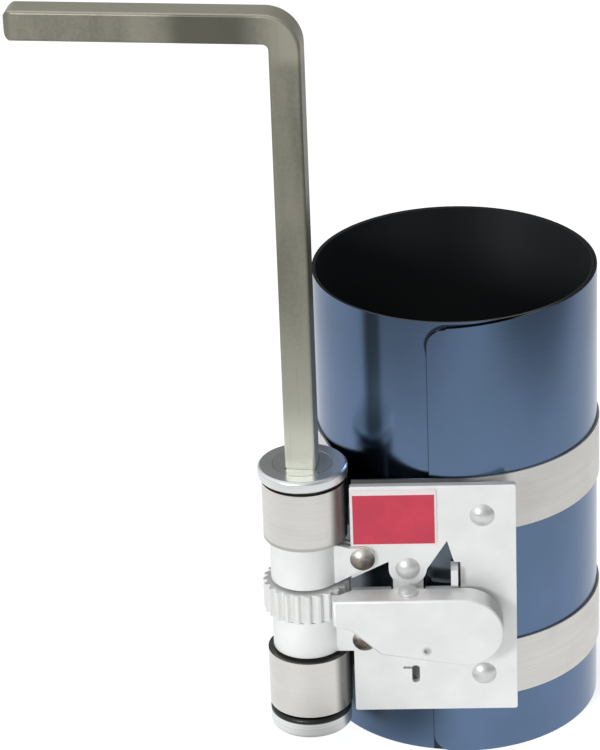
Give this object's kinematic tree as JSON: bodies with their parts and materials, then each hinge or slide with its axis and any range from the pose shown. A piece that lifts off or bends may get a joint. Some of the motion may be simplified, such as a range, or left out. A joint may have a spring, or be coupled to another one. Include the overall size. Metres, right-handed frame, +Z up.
{
  "type": "piston ring compressor",
  "caption": "Band-type piston ring compressor: a coiled spring-steel sleeve drawn in by bands that wind on a ratchet spindle, with a thumb release lever and a bent square key.",
  "frame": {"origin": "on the sleeve's axis, in the plane of its lower rim", "axes": "+Z up along the sleeve's axis; the ratchet plate faces -Y and the spindle is on its -X side"},
  "size_m": [0.1187, 0.0703, 0.1696],
  "materials": {
    "blued_steel": "glossy blued spring steel",
    "band_steel": "bare rolled strip, satin",
    "zinc_plate": "bright zinc plating",
    "label_red": "printed label film with a pale border",
    "rivet_steel": "zinc plating, domed heads",
    "rivet_brown": "plain steel, browned",
    "spindle_steel": "turned steel, dull",
    "ratchet_steel": "cut teeth, zinc plating",
    "spring_wire": "drawn wire",
    "key_steel": "drawn square bar, olive grey"
  },
  "bodies": {
    "shell": {"sleeve": "blued_steel", "upper_band": "band_steel", "lower_band": "band_steel", "ratchet_plate": "zinc_plate", "label_plate": "label_red", "upper_knuckle": "zinc_plate", "lower_knuckle": "zinc_plate", "band_rivets": "rivet_steel", "knuckle_rivets": "rivet_brown", "bracket_rivets": "rivet_steel", "lever_pin": "rivet_steel", "lever_bracket": "zinc_plate", "lever_spring": "spring_wire"},
    "winder": {"spindle": "spindle_steel", "ratchet_wheel": "ratchet_steel", "top_cap": "spindle_steel", "bottom_cap": "spindle_steel", "upper_band_coil": "band_steel", "lower_band_coil": "band_steel"},
    "lever": {"release_lever": "zinc_plate"},
    "hand_key": {"key": "key_steel"}
  },
  "joints": [
    {"name": "spindle_turn", "type": "hinge", "parent": "shell", "child": "winder", "pos_m": [-0.032, -0.02902, 0.0396], "axis": [0, 0, -1], "range_deg": [-1440, 90]},
    {"name": "lever_rock", "type": "hinge", "parent": "shell", "child": "lever", "pos_m": [-0.0106, -0.03602, 0.038], "axis": [0, 0, 1], "range_deg": [-3.4, 4.5], "stiffness_Nm_per_rad": 0.05, "springref_deg": -17.19},
    {"name": "key_lift", "type": "slide", "parent": "winder", "child": "hand_key", "axis": [0, 0, 1], "range_m": [0, 0.021]}
  ]
}
